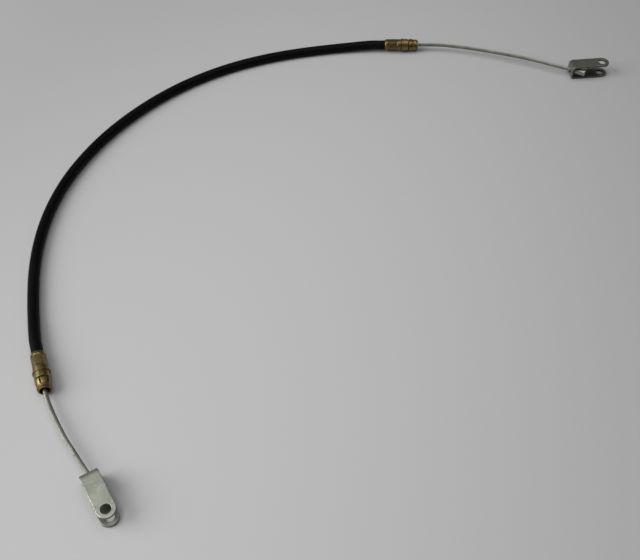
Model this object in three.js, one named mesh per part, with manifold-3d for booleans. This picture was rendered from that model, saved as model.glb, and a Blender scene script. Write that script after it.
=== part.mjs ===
// Parking brake cable: a black sheathed casing with a crimped, snap-in end
// fitting at each end, a wire rope that slides through it, and a bent-strap
// clevis held on each rope end by a swaged stop.
// Units are millimetres, +Z is up, and the cable lies on the plane Z = 0.

import * as THREE from 'three';
import { mergeVertices } from 'three/addons/utils/BufferGeometryUtils.js';
import Module from 'manifold-3d';

// Driving dimensions

// Casing, from the outside in
const SHEATH_DIAMETER = 9.0;
const SHEATH_WALL = 0.8;
const ARMOUR_WALL = 0.75;
const LINER_WALL = 0.45;
const LAYER_GAP = 0.25;
const CASING_SIDES = 12;
const CASING_STEPS = 42;

// Wire rope
const ROPE_DIAMETER = 3.2;
const ROPE_SIDES = 8;
const ROPE_STEP = 8;
const STROKE = 15;
const ROPE_IN_FITTING = 30;
const ROPE_CUT_GAP = 1.5;

// End fitting, measured along its axis from the sleeve's mouth
const FITTING_LENGTH = 34;
const SLEEVE_LENGTH = 16.8;
const SLEEVE_WALL = 0.95;
const SLEEVE_FLOOR = 2.0;
const CRIMP_DEPTH = 0.55;
const CRIMP_START = 2.5;
const CRIMP_END = 13.5;
const CRIMP_FADE = 1.2;
const CRIMP_FLATS = 6;
const MOUTH_TAPER = 0.6;
const NECK_GROOVE = 0.5;
const LIP_HEIGHT = 0.7;
const LIP_WIDTH = 1.2;
const PILOT_DIAMETER = 11.8;
const PILOT_LENGTH = 5.6;
const PILOT_BEVEL = 0.4;
const NOSE_DIAMETER = 9.0;
const NOSE_WALL = 0.9;
const NOSE_RIM_HEIGHT = 0.6;
const NOSE_RIM_WIDTH = 1.1;
const TURNED_SIDES = 36;

// Spring prongs that snap in behind a bracket
const PRONG_COUNT = 6;
const PRONG_SLOT = 1.2;
const PRONG_TURN_DEG = 13;
const PRONG_FLARE = 0.6;
const COLLAR_WALL = 0.65;
const PRONG_WALL = 0.8;
const PRONG_GAP = 0.8;
const COLLAR_LENGTH = 2.6;
const COLLAR_CLEARANCE = 0.25;

// Clevis, bent from flat strap
const STRAP_THICKNESS = 2.0;
const STRAP_WIDTH = 13.2;
const CLEVIS_HEIGHT = 14.0;
const BEND_INSIDE_RADIUS = 1.3;
const PIN_HOLE_DIAMETER = 7.1;
const PIN_HOLE_FROM_BASE = 31.6;
const ROPE_HOLE_DIAMETER = 5.4;
const HOLE_SIDES = 32;
const BEND_STEPS = 8;

// Swaged stop on each rope end
const STOP_DIAMETER = 6.4;
const STOP_LENGTH = 11;
const STOP_CHAMFER = 0.5;
const STOP_BORE_CLEARANCE = 0.25;
const STOP_SEAT_GAP = 0.3;
const STOP_SIDES = 28;
const ROPE_END_RECESS = 0.6;

// Where the two end fittings and the two clevises lie, before centring
const NEAR_TIP = [-223.82, -158.65];
const NEAR_FITTING_YAW_DEG = -69.5;
const FAR_TIP = [73.72, 264.08];
const FAR_FITTING_YAW_DEG = 0;
const NEAR_CLEVIS_BASE = [-180.5, -225.7];
const NEAR_CLEVIS_YAW_DEG = -58.5;
const NEAR_ROPE_END_YAW_DEG = -52.5;
const FAR_CLEVIS_BASE = [222.9, 221.3];
const FAR_CLEVIS_YAW_DEG = 6.5;
const FAR_ROPE_END_YAW_DEG = -24;

// How far the casing stays straight behind each sleeve, how much of the
// drop to the floor is left at its first two route points from either end,
// and how far the rope is straight on each side of a clevis base
const CASING_LEAD = 13;
const LEAD_DROP_LEFT = [0.2, 0.02];
const ROPE_LEAD = 7;

// Free run of the casing on the floor, from the near to the far fitting
const CASING_ROUTE = [
  [-247.2, -90.0], [-252.4, -67.0], [-256.8, -42.0], [-259.2, -16.0],
  [-259.1, 10.5], [-256.2, 37.0], [-250.6, 62.5], [-242.0, 87.5],
  [-231.0, 111.5], [-218.0, 134.0], [-203.0, 155.0], [-186.3, 174.7],
  [-167.8, 192.8], [-147.9, 208.7], [-126.6, 222.6], [-104.2, 234.2],
  [-81.0, 243.5], [-57.2, 251.0], [-33.0, 256.6], [-8.2, 260.8],
];

// Bare rope between each fitting and its clevis
const NEAR_ROPE_ROUTE = [
  [-217.7, -171.6], [-210.2, -184.5], [-202.1, -197.2], [-194.0, -208.1],
];
const FAR_ROPE_ROUTE = [
  [96.8, 263.5], [117.1, 260.1], [137.1, 255.0], [156.7, 249.0],
  [176.2, 242.4], [193.6, 235.4],
];

// Sizes that follow from the ones above
const ropeRadius = ROPE_DIAMETER / 2;
const sheathRadius = SHEATH_DIAMETER / 2;
const armourRadius = sheathRadius - SHEATH_WALL - LAYER_GAP;
const linerRadius = armourRadius - ARMOUR_WALL - LAYER_GAP;
const pilotRadius = PILOT_DIAMETER / 2;
const lipRadius = pilotRadius + LIP_HEIGHT;
const noseRadius = NOSE_DIAMETER / 2;
const waistRadius = noseRadius + COLLAR_CLEARANCE + COLLAR_WALL;
const flareRadius = waistRadius + PRONG_FLARE;
const sleeveBore = sheathRadius + LAYER_GAP;
const sleeveRadius = sleeveBore + SLEEVE_WALL;
const pocketDepth = SLEEVE_LENGTH - SLEEVE_FLOOR;
const lipStart = SLEEVE_LENGTH + NECK_GROOVE;
const pilotStart = lipStart + LIP_WIDTH;
const pilotEnd = pilotStart + PILOT_LENGTH;
const rimStart = FITTING_LENGTH - NOSE_RIM_WIDTH;
const clevisLength = PIN_HOLE_FROM_BASE + STRAP_WIDTH / 2;
const clevisAxisHeight = CLEVIS_HEIGHT / 2;
const fittingAxisHeight = lipRadius;

const radians = THREE.MathUtils.degToRad;

// Materials

function finish(color, roughness, metalness) {
  return new THREE.MeshStandardMaterial({ color, roughness, metalness });
}

const blackSheathing = () => finish(0x141415, 0.42, 0);
const armourSteel = () => finish(0x8a8d90, 0.4, 0.9);
const linerPlastic = () => finish(0xdedbd0, 0.5, 0);
const ropeSteel = () => finish(0x8f9488, 0.42, 0.9);
const yellowZinc = () => finish(0xa98a45, 0.38, 0.9);
const greyZinc = () => finish(0xa6a9a0, 0.42, 0.85);

// A material's mesh with a name
function part(name, geometry, material) {
  const mesh = new THREE.Mesh(geometry, material);
  mesh.name = name;
  return mesh;
}

// Solid joins and cuts

const wasm = await Module();
wasm.setup();

function toSolid(geometry) {
  const bare = geometry.clone();
  bare.deleteAttribute('normal');
  bare.deleteAttribute('uv');
  const welded = mergeVertices(bare, 1e-4);
  return new wasm.Manifold(new wasm.Mesh({
    numProp: 3,
    vertProperties: new Float32Array(welded.attributes.position.array),
    triVerts: new Uint32Array(welded.index.array),
  }));
}

function toGeometry(solid) {
  const { vertProperties, triVerts } = solid.getMesh();
  const geometry = new THREE.BufferGeometry();
  geometry.setAttribute('position', new THREE.BufferAttribute(vertProperties, 3));
  geometry.setIndex(new THREE.BufferAttribute(triVerts, 1));
  geometry.computeVertexNormals();
  return geometry;
}

// A closed profile of [along, radius] points turned about the X axis
function turned(profile, sides) {
  const points = profile.map(([along, radius]) => new THREE.Vector2(radius, along));
  points.push(points[0].clone());
  const geometry = new THREE.LatheGeometry(points, sides);
  geometry.rotateZ(-Math.PI / 2);
  return geometry;
}

// Routes

// A unit step in the floor plane at a yaw angle
function heading(yawDeg) {
  return new THREE.Vector3(Math.cos(radians(yawDeg)), Math.sin(radians(yawDeg)), 0);
}

// The point a distance along a heading from a start point
function along(start, yawDeg, distance) {
  return heading(yawDeg).multiplyScalar(distance).add(start);
}

const nearTip = new THREE.Vector3(...NEAR_TIP, fittingAxisHeight);
const farTip = new THREE.Vector3(...FAR_TIP, fittingAxisHeight);
const nearMouth = along(nearTip, NEAR_FITTING_YAW_DEG, -FITTING_LENGTH);
const farMouth = along(farTip, FAR_FITTING_YAW_DEG, -FITTING_LENGTH);
const nearBase = new THREE.Vector3(...NEAR_CLEVIS_BASE, clevisAxisHeight);
const farBase = new THREE.Vector3(...FAR_CLEVIS_BASE, clevisAxisHeight);

function smoothCurve(points) {
  return new THREE.CatmullRomCurve3(points, false, 'centripetal');
}

// The casing's centre line: straight in each sleeve and for a short lead
// behind it, and lying on the floor in between
function casingCurve(insideSleeve) {
  const nearLead = [insideSleeve, 0, -CASING_LEAD / 2, -CASING_LEAD]
    .map((step) => along(nearMouth, NEAR_FITTING_YAW_DEG, step));
  const farLead = [-CASING_LEAD, -CASING_LEAD / 2, 0, insideSleeve]
    .map((step) => along(farMouth, FAR_FITTING_YAW_DEG, step));
  const drop = fittingAxisHeight - sheathRadius;
  const last = CASING_ROUTE.length - 1;
  const floor = CASING_ROUTE.map(([x, y], i) => {
    const left = LEAD_DROP_LEFT[Math.min(i, last - i)] ?? 0;
    return new THREE.Vector3(x, y, sheathRadius + left * drop);
  });
  return smoothCurve([...nearLead, ...floor, ...farLead]);
}

// The part of a curve between two lengths along it
function stretch(curve, from, to, count) {
  const total = curve.getLength();
  const points = [];
  for (let i = 0; i <= count; i += 1) {
    points.push(curve.getPointAt((from + ((to - from) * i) / count) / total));
  }
  return smoothCurve(points);
}

function circle(radius, sides) {
  const points = [];
  for (let i = 0; i < sides; i += 1) {
    const angle = (2 * Math.PI * i) / sides;
    points.push(new THREE.Vector2(radius * Math.cos(angle), radius * Math.sin(angle)));
  }
  return points;
}

// A tube, or a solid rod where the bore is zero, along a curve
function tube(curve, radius, bore, sides, steps) {
  const shape = new THREE.Shape(circle(radius, sides));
  if (bore > 0) {
    shape.holes.push(new THREE.Path(circle(bore, sides).reverse()));
  }
  return new THREE.ExtrudeGeometry(shape, { steps, extrudePath: curve, bevelEnabled: false });
}

// Casing: sheath, wound armour and liner share one centre line

const casingInSleeve = pocketDepth - LAYER_GAP;

function casingLayer(outerRadius, wall) {
  const bore = outerRadius - wall;
  return tube(casingCurve(casingInSleeve), outerRadius, bore, CASING_SIDES, CASING_STEPS);
}

// End fitting: sleeve with a hexagonal crimp, lip, pilot and nose, one piece

// How far the crimp presses in at a station and an angle about the axis
function crimpDepth(station, angle) {
  const rise = THREE.MathUtils.smoothstep(station, CRIMP_START, CRIMP_START + CRIMP_FADE);
  const fall = THREE.MathUtils.smoothstep(station, CRIMP_END - CRIMP_FADE, CRIMP_END);
  const half = Math.PI / CRIMP_FLATS;
  const turn = THREE.MathUtils.euclideanModulo(angle, 2 * half) - half;
  const flat = Math.cos(half) / Math.cos(turn);
  const press = (1 - flat) / (1 - Math.cos(half));
  return CRIMP_DEPTH * press * rise * (1 - fall);
}

function endFitting() {
  const mouthRadius = sleeveRadius - MOUTH_TAPER;
  const neckRadius = sleeveRadius - NECK_GROOVE;
  const rimRadius = noseRadius + NOSE_RIM_HEIGHT;
  const boreRadius = noseRadius - NOSE_WALL;
  const crimpMiddle = (CRIMP_START + CRIMP_END) / 2;
  const edge = NOSE_RIM_WIDTH / 3;
  const profile = [
    [0, sleeveBore],
    [0, mouthRadius],
    [CRIMP_START / 2, (mouthRadius + sleeveRadius) / 2],
    [CRIMP_START, sleeveRadius],
    [CRIMP_START + CRIMP_FADE, sleeveRadius],
    [crimpMiddle, sleeveRadius],
    [CRIMP_END - CRIMP_FADE, sleeveRadius],
    [CRIMP_END, sleeveRadius],
    [SLEEVE_LENGTH, sleeveRadius],
    [SLEEVE_LENGTH, neckRadius],
    [lipStart, neckRadius],
    [lipStart, lipRadius],
    [pilotStart, lipRadius],
    [pilotStart, pilotRadius],
    [pilotEnd - PILOT_BEVEL, pilotRadius],
    [pilotEnd, pilotRadius - PILOT_BEVEL],
    [pilotEnd, noseRadius],
    [rimStart, noseRadius],
    [rimStart, rimRadius - edge],
    [rimStart + edge, rimRadius],
    [FITTING_LENGTH - edge, rimRadius - edge / 2],
    [FITTING_LENGTH, rimRadius - 2 * edge],
    [FITTING_LENGTH, boreRadius],
    [pocketDepth, boreRadius],
    [pocketDepth, sleeveBore],
  ];
  const geometry = turned(profile, TURNED_SIDES);
  const position = geometry.attributes.position;
  for (let i = 0; i < position.count; i += 1) {
    const y = position.getY(i);
    const z = position.getZ(i);
    const radius = Math.hypot(y, z);
    const onSleeve = position.getX(i) < SLEEVE_LENGTH && radius > sleeveBore + LAYER_GAP;
    if (onSleeve) {
      const press = crimpDepth(position.getX(i), Math.atan2(z, y));
      const scale = (radius - press) / radius;
      position.setY(i, y * scale);
      position.setZ(i, z * scale);
    }
  }
  return geometry;
}

// Prong clip: a collar on the nose with spring fingers that flare back
// towards the lip, slotted open at their free ends
function prongClip() {
  const freeEnd = pilotEnd + PRONG_GAP;
  const collarEnd = rimStart - COLLAR_CLEARANCE;
  const collarStart = collarEnd - COLLAR_LENGTH;
  const collarBore = noseRadius + COLLAR_CLEARANCE;
  const shell = toSolid(turned([
    [freeEnd, flareRadius - PRONG_WALL],
    [freeEnd, flareRadius],
    [(freeEnd + collarStart) / 2, (flareRadius + waistRadius) / 2 - PRONG_WALL / 8],
    [collarStart, waistRadius],
    [collarEnd - PRONG_WALL / 2, waistRadius],
    [collarEnd, waistRadius - PRONG_WALL / 2],
    [collarEnd, collarBore],
    [collarStart, collarBore],
  ], TURNED_SIDES));
  const reach = 4 * flareRadius;
  const slotLength = collarStart - freeEnd + 1;
  let clip = shell;
  for (let i = 0; i < PRONG_COUNT / 2; i += 1) {
    const slot = new THREE.BoxGeometry(slotLength, PRONG_SLOT, reach);
    slot.translate(freeEnd - 1 + slotLength / 2, 0, 0);
    slot.rotateX(radians(PRONG_TURN_DEG) + (2 * Math.PI * i) / PRONG_COUNT);
    clip = clip.subtract(toSolid(slot));
  }
  return toGeometry(clip);
}

// Clevis: strap bent into a U, round-ended ears, pin holes and rope hole.
// Its origin is the middle of the base's outer face, +X towards the ears.

function strapProfile() {
  const outside = BEND_INSIDE_RADIUS + STRAP_THICKNESS;
  const half = CLEVIS_HEIGHT / 2;
  const inner = half - STRAP_THICKNESS;
  const shape = new THREE.Shape();
  shape.moveTo(clevisLength, half);
  shape.lineTo(outside, half);
  shape.absarc(outside, half - outside, outside, Math.PI / 2, Math.PI, false);
  shape.lineTo(0, outside - half);
  shape.absarc(outside, outside - half, outside, Math.PI, 1.5 * Math.PI, false);
  shape.lineTo(clevisLength, -half);
  shape.lineTo(clevisLength, -inner);
  shape.lineTo(outside, -inner);
  shape.absarc(outside, BEND_INSIDE_RADIUS - inner, BEND_INSIDE_RADIUS,
    1.5 * Math.PI, Math.PI, true);
  shape.lineTo(STRAP_THICKNESS, inner - BEND_INSIDE_RADIUS);
  shape.absarc(outside, inner - BEND_INSIDE_RADIUS, BEND_INSIDE_RADIUS,
    Math.PI, Math.PI / 2, true);
  shape.lineTo(clevisLength, inner);
  return shape;
}

function earOutline() {
  const half = STRAP_WIDTH / 2;
  const shape = new THREE.Shape();
  shape.moveTo(-1, -half);
  shape.lineTo(PIN_HOLE_FROM_BASE, -half);
  shape.absarc(PIN_HOLE_FROM_BASE, 0, half, -Math.PI / 2, Math.PI / 2, false);
  shape.lineTo(-1, half);
  return shape;
}

function clevis() {
  const bent = new THREE.ExtrudeGeometry(strapProfile(),
    { depth: STRAP_WIDTH, bevelEnabled: false, curveSegments: BEND_STEPS });
  bent.translate(0, 0, -STRAP_WIDTH / 2);
  bent.rotateX(Math.PI / 2);
  const plan = new THREE.ExtrudeGeometry(earOutline(),
    { depth: 2 * CLEVIS_HEIGHT, bevelEnabled: false, curveSegments: HOLE_SIDES / 2 });
  plan.translate(0, 0, -CLEVIS_HEIGHT);
  const pinHole = new THREE.CylinderGeometry(PIN_HOLE_DIAMETER / 2, PIN_HOLE_DIAMETER / 2,
    2 * CLEVIS_HEIGHT, HOLE_SIDES);
  pinHole.rotateX(Math.PI / 2);
  pinHole.translate(PIN_HOLE_FROM_BASE, 0, 0);
  const ropeHole = new THREE.CylinderGeometry(ROPE_HOLE_DIAMETER / 2, ROPE_HOLE_DIAMETER / 2,
    4 * STRAP_THICKNESS, HOLE_SIDES);
  ropeHole.rotateZ(Math.PI / 2);
  const solid = toSolid(bent)
    .intersect(toSolid(plan))
    .subtract(toSolid(pinHole))
    .subtract(toSolid(ropeHole));
  return toGeometry(solid);
}

// Rope ends: each runs straight out of its fitting, along its route and
// straight through the middle of its clevis base into the swaged stop

// How far past the base's mid-plane the stop starts, so that its rim just
// clears the inner face at the angle the rope comes in
function stopStart(tiltDeg) {
  const tilt = radians(Math.abs(tiltDeg));
  const rim = (STOP_DIAMETER / 2) * Math.sin(tilt);
  return (STRAP_THICKNESS / 2 + STOP_SEAT_GAP + rim) / Math.cos(tilt);
}

// The middle of the rope hole, halfway through the base
function ropeHoleCentre(base, clevisYawDeg) {
  return along(base, clevisYawDeg, STRAP_THICKNESS / 2);
}

function ropeEnd(end) {
  const inside = [-ROPE_IN_FITTING, -ROPE_IN_FITTING / 2, 0]
    .map((step) => along(end.tip, end.fittingYaw, step));
  const rise = clevisAxisHeight - fittingAxisHeight;
  const free = end.route.map(([x, y], i) => new THREE.Vector3(
    x, y, fittingAxisHeight + (rise * (i + 1)) / (end.route.length + 1)));
  const centre = ropeHoleCentre(end.base, end.clevisYaw);
  const last = end.stopFrom + STOP_LENGTH - ROPE_END_RECESS;
  const outside = [-2 * ROPE_LEAD, -ROPE_LEAD, 0, last]
    .map((step) => along(centre, end.ropeYaw, step));
  const curve = smoothCurve([...inside, ...free, ...outside]);
  const steps = Math.round(curve.getLength() / ROPE_STEP);
  return tube(curve, ropeRadius, 0, ROPE_SIDES, steps);
}

function ropeStop() {
  const radius = STOP_DIAMETER / 2;
  const bore = ropeRadius + STOP_BORE_CLEARANCE;
  return turned([
    [0, bore],
    [0, radius - STOP_CHAMFER],
    [STOP_CHAMFER, radius],
    [STOP_LENGTH - STOP_CHAMFER, radius],
    [STOP_LENGTH, radius - STOP_CHAMFER],
    [STOP_LENGTH, bore],
  ], STOP_SIDES);
}

// The rope hidden in the casing, between the two sliding rope ends
function hiddenRope() {
  const curve = casingCurve(0);
  const clear = ROPE_IN_FITTING + STROKE + ROPE_CUT_GAP - FITTING_LENGTH;
  const length = curve.getLength();
  const run = stretch(curve, clear, length - clear, CASING_STEPS);
  return tube(run, ropeRadius, 0, ROPE_SIDES, CASING_STEPS);
}

// Assembly

const group = new THREE.Group();
const cable = new THREE.Group();
group.add(cable);

cable.add(part('casing_sheath', casingLayer(sheathRadius, SHEATH_WALL), blackSheathing()));
cable.add(part('casing_armour', casingLayer(armourRadius, ARMOUR_WALL), armourSteel()));
cable.add(part('casing_liner', casingLayer(linerRadius, LINER_WALL), linerPlastic()));
cable.add(part('rope_in_casing', hiddenRope(), ropeSteel()));

const ends = [
  {
    side: 'near',
    tip: nearTip,
    mouth: nearMouth,
    fittingYaw: NEAR_FITTING_YAW_DEG,
    route: NEAR_ROPE_ROUTE,
    base: nearBase,
    clevisYaw: NEAR_CLEVIS_YAW_DEG,
    ropeYaw: NEAR_ROPE_END_YAW_DEG,
  },
  {
    side: 'far',
    tip: farTip,
    mouth: farMouth,
    fittingYaw: FAR_FITTING_YAW_DEG,
    route: FAR_ROPE_ROUTE,
    base: farBase,
    clevisYaw: FAR_CLEVIS_YAW_DEG,
    ropeYaw: FAR_ROPE_END_YAW_DEG,
  },
];

for (const end of ends) {
  end.stopFrom = stopStart(end.ropeYaw - end.clevisYaw);

  const fitting = new THREE.Group();
  fitting.position.copy(end.mouth);
  fitting.rotation.z = radians(end.fittingYaw);
  fitting.add(part(`${end.side}_end_fitting`, endFitting(), yellowZinc()));
  fitting.add(part(`${end.side}_prong_clip`, prongClip(), yellowZinc()));
  cable.add(fitting);

  cable.add(part(`${end.side}_rope_end`, ropeEnd(end), ropeSteel()));

  const stop = part(`${end.side}_rope_stop`, ropeStop(), greyZinc());
  const centre = ropeHoleCentre(end.base, end.clevisYaw);
  stop.position.copy(along(centre, end.ropeYaw, end.stopFrom));
  stop.rotation.z = radians(end.ropeYaw);
  cable.add(stop);

  const yoke = part(`${end.side}_clevis`, clevis(), greyZinc());
  yoke.position.copy(end.base);
  yoke.rotation.z = radians(end.clevisYaw);
  cable.add(yoke);
}

// Put the origin at the middle of the footprint, on the floor
group.updateMatrixWorld(true);
const box = new THREE.Box3().setFromObject(group, true);
const middle = box.getCenter(new THREE.Vector3());
cable.position.set(-middle.x, -middle.y, -box.min.z);
group.updateMatrixWorld(true);

export default group;
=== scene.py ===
import math

import bmesh
import bpy
import numpy as np
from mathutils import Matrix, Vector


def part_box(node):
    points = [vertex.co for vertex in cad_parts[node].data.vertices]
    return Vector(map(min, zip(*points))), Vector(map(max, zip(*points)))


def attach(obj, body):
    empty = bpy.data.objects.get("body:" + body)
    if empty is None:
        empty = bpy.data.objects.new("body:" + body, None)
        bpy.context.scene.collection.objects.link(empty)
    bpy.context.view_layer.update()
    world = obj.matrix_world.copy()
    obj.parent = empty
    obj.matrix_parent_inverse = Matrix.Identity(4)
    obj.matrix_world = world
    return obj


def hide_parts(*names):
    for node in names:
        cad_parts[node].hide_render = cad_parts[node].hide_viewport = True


bl_info = {
    "name": "Parking brake cable",
    "version": (1, 0, 0),
    "blender": (4, 5, 0),
    "location": "3D View > Sidebar > Brake cable",
    "description": "Dresses the packed parking brake cable: sheath, end fittings, wire rope, "
                   "swaged stops, strap clevises and a plain studio stage",
    "category": "Object",
}

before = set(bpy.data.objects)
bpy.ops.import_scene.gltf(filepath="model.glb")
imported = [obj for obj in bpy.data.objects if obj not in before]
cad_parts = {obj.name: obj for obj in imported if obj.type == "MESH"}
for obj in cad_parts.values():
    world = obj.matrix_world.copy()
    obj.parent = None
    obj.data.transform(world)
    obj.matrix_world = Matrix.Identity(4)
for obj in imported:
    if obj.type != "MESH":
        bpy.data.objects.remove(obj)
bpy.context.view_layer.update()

MM = 0.001

# Layout on the floor plane, in millimetres, before it is centred

FITTING_LENGTH = 34.0
FITTING_AXIS_HEIGHT = 6.6
CLEVIS_AXIS_HEIGHT = 7.0
CASING_LEAD_STEPS = (14.55, 0.0, -6.5, -13.0)
CASING_FLOOR_HEIGHT = 4.5
LEAD_DROP_LEFT = (0.2, 0.02)
ROPE_IN_FITTING = 30.0
ROPE_LEAD = 7.0
STOP_LENGTH = 11.0
STOP_RADIUS = 3.2
STOP_SEAT_GAP = 0.3
ROPE_END_RECESS = 0.6
PRONGS = 6
PRONG_TURN = 103.0
FLARE_RADIUS = 6.0

# The cords' routes are in metres on the same plane
CASING_ROUTE = (
    (-0.2472, -0.0900), (-0.2524, -0.0670), (-0.2568, -0.0420), (-0.2592, -0.0160),
    (-0.2591, 0.0105), (-0.2562, 0.0370), (-0.2506, 0.0625), (-0.2420, 0.0875),
    (-0.2310, 0.1115), (-0.2180, 0.1340), (-0.2030, 0.1550), (-0.1863, 0.1747),
    (-0.1678, 0.1928), (-0.1479, 0.2087), (-0.1266, 0.2226), (-0.1042, 0.2342),
    (-0.0810, 0.2435), (-0.0572, 0.2510), (-0.0330, 0.2566), (-0.0082, 0.2608),
)

# For each end: the fitting's tip, the outer face of the clevis's base, their headings and that of
# the rope at the clevis in degrees, the bare rope's route between the two, and the clevis
# plating's painted brightness: painted light on the near clevis, painted shade on the far one
ENDS = {
    "near": {
        "tip": (-223.82, -158.65), "fitting_yaw": -69.5, "base": (-180.5, -225.7),
        "clevis_yaw": -58.5, "rope_yaw": -52.5, "painted_plating_light": 1.15,
        "route": ((-0.2177, -0.1716), (-0.2102, -0.1845), (-0.2021, -0.1972),
                  (-0.1940, -0.2081)),
    },
    "far": {
        "tip": (73.72, 264.08), "fitting_yaw": 0.0, "base": (222.9, 221.3),
        "clevis_yaw": 6.5, "rope_yaw": -24.0, "painted_plating_light": 0.74,
        "route": ((0.0968, 0.2635), (0.1171, 0.2601), (0.1371, 0.2550), (0.1567, 0.2490),
                  (0.1762, 0.2424), (0.1936, 0.2354)),
    },
}

# The camera stands over the same plane, before centring
CAMERA_PLACE = (-27.0, -500.0, 530.0)
CAMERA_DIP = 49.6
CAMERA_LENS = 48.71

# The lamp and the floor, in metres
LAMP_PLACE = (-1.8, -0.35, 1.3)
LAMP_DIAMETER = 1.9
FLOOR_HALF = 12.0

# The height, as the sine of its angle, where the sky starts to brighten and where it is full
SKY_RISE = (0.82, 0.9)

# Painted light and shade on the floor: how its colour is brightened or darkened with x, y, x
# squared, y squared and x times y, in metres, and the least and the greatest share of its colour
# that is left
FLOOR_PAINTED_LIMITS = (0.78, 1.1)
FLOOR_PAINTED_FALLOFF = (-0.14, -0.14, -1.85, -0.6, 1.05)


def centring():
    """How far the layout is moved so that its box is centred, read from the far fitting.

    The far fitting lies along X: its low X end is the sleeve's mouth, and the middle
    of its box is on its axis."""
    low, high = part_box("far_end_fitting")
    tip = ENDS["far"]["tip"]
    return np.array([
        low.x - (tip[0] - FITTING_LENGTH) * MM,
        (low.y + high.y) / 2 - tip[1] * MM,
        (low.z + high.z) / 2 - FITTING_AXIS_HEIGHT * MM,
    ])


CENTRING = centring()


def place(x, y, z):
    """A layout point in millimetres as a point of the row frame in metres."""
    return np.array([x, y, z]) * MM + CENTRING


def heading(yaw):
    """The unit step in the floor plane at a yaw angle in degrees."""
    return np.array([math.cos(math.radians(yaw)), math.sin(math.radians(yaw)), 0.0])


def mouth(at):
    """The middle of a sleeve's mouth, a fitting's length behind its tip."""
    tip = np.array([*at["tip"], FITTING_AXIS_HEIGHT])
    return tip - heading(at["fitting_yaw"]) * FITTING_LENGTH


# Curves

def centripetal(points, per_span):
    """A smooth curve through the points.

    Each span is a cubic between two points. Its end slopes come from the neighbours,
    weighed by the square root of the distances between them, and each end of the
    curve has one more neighbour mirrored beyond it."""
    p = np.asarray(points, float)
    p = np.vstack([2 * p[0] - p[1], p, 2 * p[-1] - p[-2]])
    gap = np.sqrt(np.linalg.norm(np.diff(p, axis=0), axis=1))[:, None]
    d0, d1, d2 = gap[:-2], gap[1:-1], gap[2:]
    a, b, c, d = p[:-3], p[1:-2], p[2:-1], p[3:]
    slope_b = d1 * ((b - a) / d0 - (c - a) / (d0 + d1) + (c - b) / d1)
    slope_c = d1 * ((c - b) / d1 - (d - b) / (d1 + d2) + (d - c) / d2)
    t = (np.arange(per_span) / per_span)[None, :, None]
    h = [
        2 * t**3 - 3 * t**2 + 1, t**3 - 2 * t**2 + t,
        -2 * t**3 + 3 * t**2, t**3 - t**2,
    ]
    terms = zip(h, (b, slope_b, c, slope_c))
    curve = sum(w * v[:, None, :] for w, v in terms).reshape(-1, 3)
    return np.vstack([curve, p[-2]])


def evenly(points, step):
    """The same line with its points an even step apart along it."""
    run = np.concatenate([[0], np.cumsum(np.linalg.norm(np.diff(points, axis=0), axis=1))])
    count = max(2, int(round(run[-1] / step)) + 1)
    at = np.linspace(0, run[-1], count)
    return np.stack([np.interp(at, run, points[:, i]) for i in range(3)], axis=1)


def line_length(points):
    return float(np.linalg.norm(np.diff(points, axis=0), axis=1).sum())


def side_and_up(points):
    """Two unit vectors across the line at each point: sideways along the floor, and up."""
    ahead = np.gradient(points, axis=0)
    ahead /= np.linalg.norm(ahead, axis=1)[:, None]
    side = np.cross([0.0, 0.0, 1.0], ahead)
    side /= np.linalg.norm(side, axis=1)[:, None]
    return side, np.cross(ahead, side)


def casing_line():
    """The casing's centre line, from the floor of one sleeve to that of the other."""
    near, far = [
        [mouth(at) + heading(at["fitting_yaw"]) * s for s in steps]
        for at, steps in zip(ENDS.values(), (CASING_LEAD_STEPS, CASING_LEAD_STEPS[::-1]))
    ]
    route = np.array([(x / MM, y / MM, CASING_FLOOR_HEIGHT) for x, y in CASING_ROUTE])
    drop = (FITTING_AXIS_HEIGHT - CASING_FLOOR_HEIGHT) * np.array(LEAD_DROP_LEFT)
    route[:2, 2] += drop
    route[-2:, 2] += drop[::-1]
    return place(0, 0, 0) + centripetal(np.vstack([near, route, far]), 24) * MM


def stop_start(at):
    """How far past the base's middle the stop starts, in millimetres. It stands clear of
    the base by the seat gap although the rope leans."""
    lean = math.radians(abs(at["rope_yaw"] - at["clevis_yaw"]))
    return (1.0 + STOP_SEAT_GAP + STOP_RADIUS * math.sin(lean)) / math.cos(lean)


def rope_hole(at):
    """The middle of the rope hole, halfway through the clevis base."""
    return np.array([*at["base"], CLEVIS_AXIS_HEIGHT]) + heading(at["clevis_yaw"])


def rope_line(at):
    """The centre line of one bare rope end, from inside its fitting to inside its stop."""
    tip = np.array([*at["tip"], FITTING_AXIS_HEIGHT])
    inside = [tip + heading(at["fitting_yaw"]) * s
              for s in (-ROPE_IN_FITTING, -ROPE_IN_FITTING / 2, 0)]
    share = (np.arange(len(at["route"])) + 1) / (len(at["route"]) + 1)
    height = FITTING_AXIS_HEIGHT + share * (CLEVIS_AXIS_HEIGHT - FITTING_AXIS_HEIGHT)
    free = np.column_stack([np.array(at["route"]) / MM, height])
    last = stop_start(at) + STOP_LENGTH - ROPE_END_RECESS
    outside = [rope_hole(at) + heading(at["rope_yaw"]) * s
               for s in (-2 * ROPE_LEAD, -ROPE_LEAD, 0, last)]
    return place(0, 0, 0) + centripetal(np.vstack([inside, free, outside]), 24) * MM


# Meshes from whole arrays

def grid_faces(rows, columns, wrap_rows=False, wrap_columns=False, first=0):
    """The four-sided faces between neighbouring points of a grid."""
    r = np.arange(rows if wrap_rows else rows - 1)
    c = np.arange(columns if wrap_columns else columns - 1)
    r, c = np.meshgrid(r, c, indexing="ij")
    r2, c2 = (r + 1) % rows, (c + 1) % columns
    corners = [r * columns + c, r * columns + c2, r2 * columns + c2, r2 * columns + c]
    return np.stack([k.ravel() for k in corners], axis=1) + first


def ring_map(along, sides):
    """A map for rings of points: the share of a turn, then metres along from millimetres."""
    along = np.asarray(along)
    return np.column_stack([np.tile(np.arange(sides) / sides, len(along)),
                            np.repeat(along * MM, sides)])


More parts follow.
